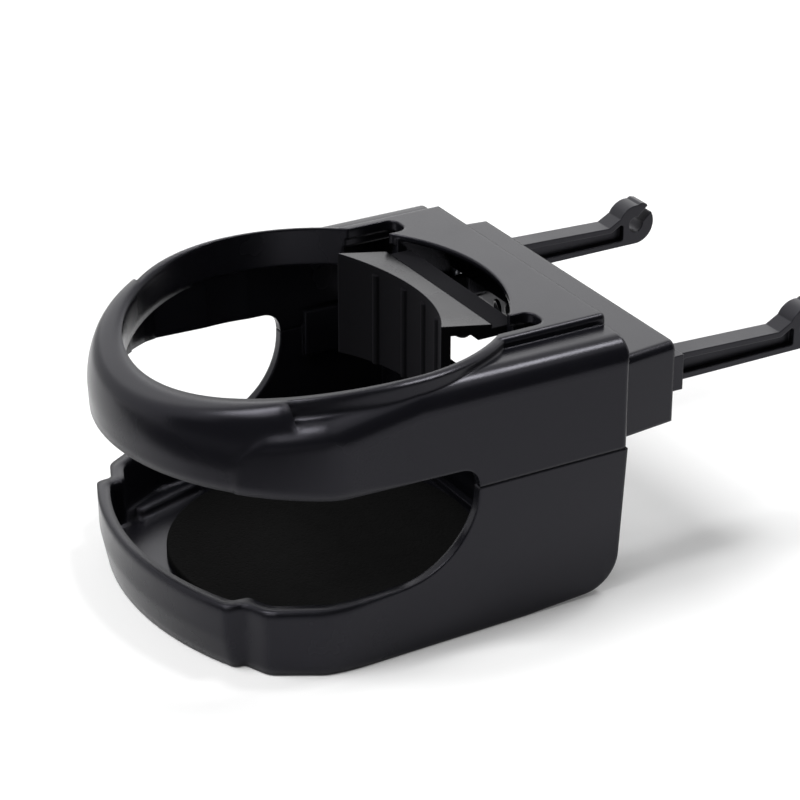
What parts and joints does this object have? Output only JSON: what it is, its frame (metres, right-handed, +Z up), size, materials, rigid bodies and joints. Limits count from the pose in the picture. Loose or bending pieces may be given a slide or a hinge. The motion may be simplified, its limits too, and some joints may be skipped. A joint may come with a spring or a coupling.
{
  "type": "car cup holder",
  "caption": "Car cup holder with a ring, open sides and a padded tray, a sprung slider that steadies the cup, and forked arms that clip on an air vent.",
  "frame": {"origin": "on the axis of the cup opening, at the underside of the tray", "axes": "+Z up along the cup axis, +Y towards the vent arms, +X across the holder"},
  "size_m": [0.0814, 0.1412, 0.0556],
  "materials": {
    "black_abs": "satin moulded plastic",
    "black_nylon": "matt moulded plastic",
    "foam": "matt closed-cell foam",
    "spring_steel": "drawn wire",
    "zinc_steel": "zinc plated"
  },
  "bodies": {
    "holder": {"upper_housing": "black_abs", "lower_tray": "black_abs", "base_pad": "foam", "slider_spring_left": "spring_steel", "slider_spring_right": "spring_steel", "rear_block": "black_abs", "vent_arm_left": "black_nylon", "vent_arm_right": "black_nylon", "case_screws": "zinc_steel", "arm_screws": "zinc_steel"},
    "slider": {"cup_slider": "black_abs"}
  },
  "joints": [
    {"name": "slider_slide", "type": "slide", "parent": "holder", "child": "slider", "axis": [0, 1, 0], "range_m": [0, 0.009], "stiffness_N_per_m": 150, "springref_m": -0.02, "deforming": ["slider_spring_left", "slider_spring_right"]}
  ]
}
